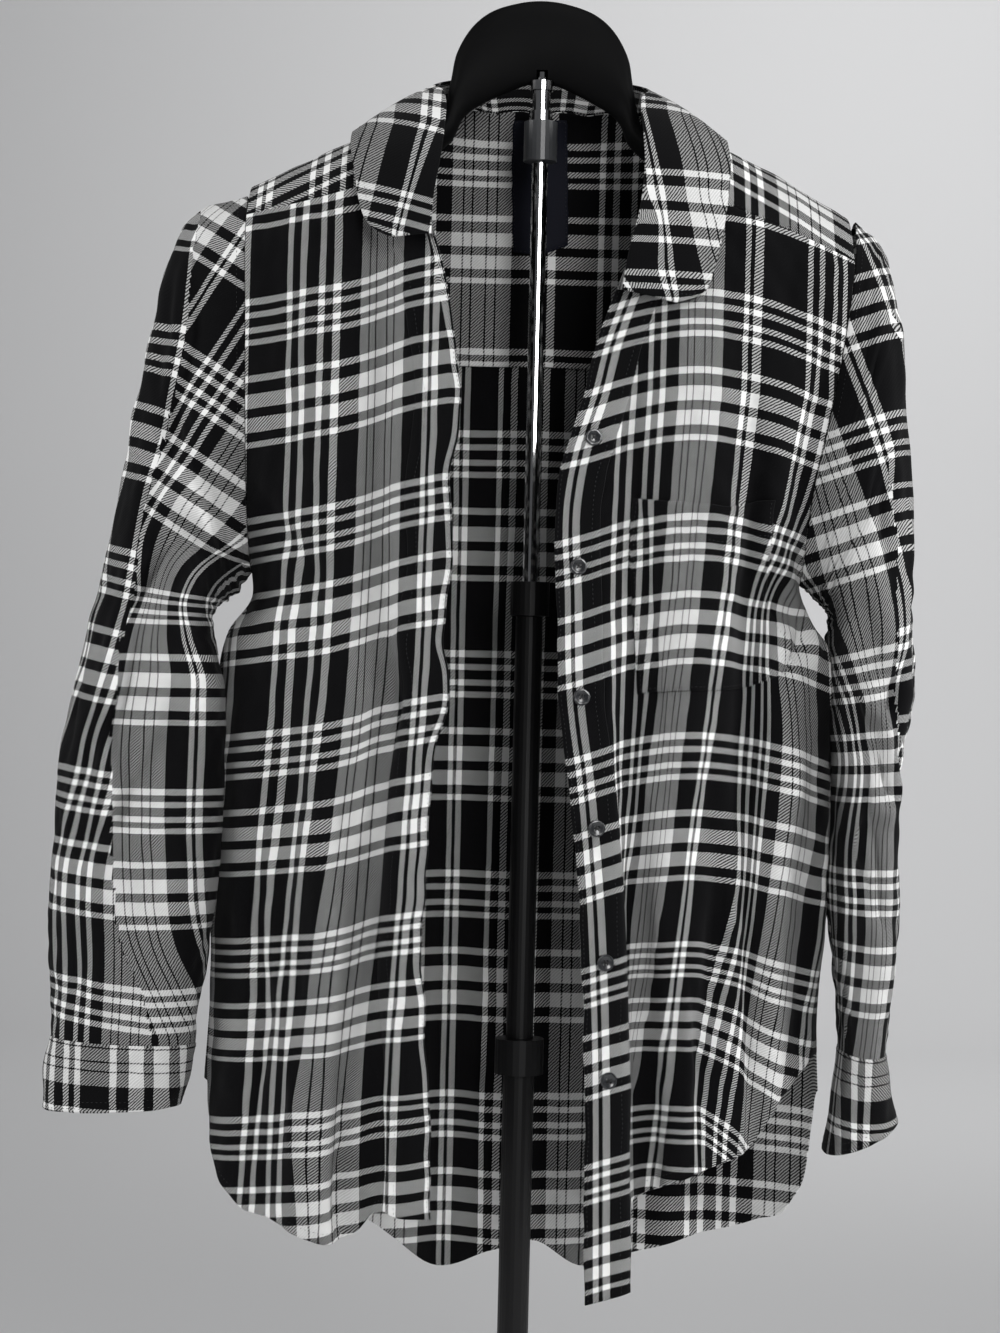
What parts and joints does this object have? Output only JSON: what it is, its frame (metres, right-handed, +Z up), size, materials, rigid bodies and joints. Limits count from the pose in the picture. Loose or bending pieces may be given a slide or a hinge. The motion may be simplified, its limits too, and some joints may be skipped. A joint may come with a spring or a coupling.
{
  "type": "flannel shirt on a hanger stand",
  "caption": "Long-sleeved plaid flannel shirt hanging open on a thick contoured hanger, on a telescopic stand with folding legs.",
  "frame": {"origin": "on the floor, at the middle of the mast's end cap", "axes": "+Z up the mast, -Y out of the shirt's open front, +X to the wearer's left"},
  "size_m": [0.7768, 0.677, 1.369],
  "materials": {
    "flannel": "brushed cotton flannel, black and white plaid",
    "label": "woven label, bare",
    "buttons": "dark grey resin",
    "hanger": "matte moulding",
    "stand_black": "satin black",
    "stand_chrome": "polished",
    "clamp_grey": "satin"
  },
  "bodies": {
    "root": {"front_right": "flannel", "front_left": "flannel", "back": "flannel", "yoke": "flannel", "yoke_inner": "flannel", "placket_right": "flannel", "placket_left": "flannel", "pocket": "flannel", "sleeve_right": "flannel", "sleeve_left": "flannel", "cuff_right": "flannel", "cuff_left": "flannel", "collar": "flannel", "collar_stand": "flannel", "neck_label": "label", "button_1": "buttons", "button_2": "buttons", "button_3": "buttons", "button_4": "buttons", "button_5": "buttons", "button_6": "buttons", "cuff_button_right": "buttons", "cuff_button_left": "buttons", "hanger": "hanger", "end_cap": "stand_black", "lower_tube": "stand_black", "clamp_3": "stand_black", "middle_tube": "stand_black", "clamp_2": "stand_black", "leg_hub": "stand_black", "brace_hub": "stand_black", "leg_1": "stand_black", "brace_1": "stand_black", "foot_1": "stand_black", "leg_2": "stand_black", "brace_2": "stand_black", "foot_2": "stand_black", "leg_3": "stand_black", "brace_3": "stand_black", "foot_3": "stand_black", "top_tube": "stand_chrome", "spigot_base": "stand_chrome", "spigot_neck": "stand_chrome", "spigot_head": "stand_chrome", "spigot_tip": "stand_chrome", "clamp_1": "clamp_grey"}
  },
  "joints": []
}
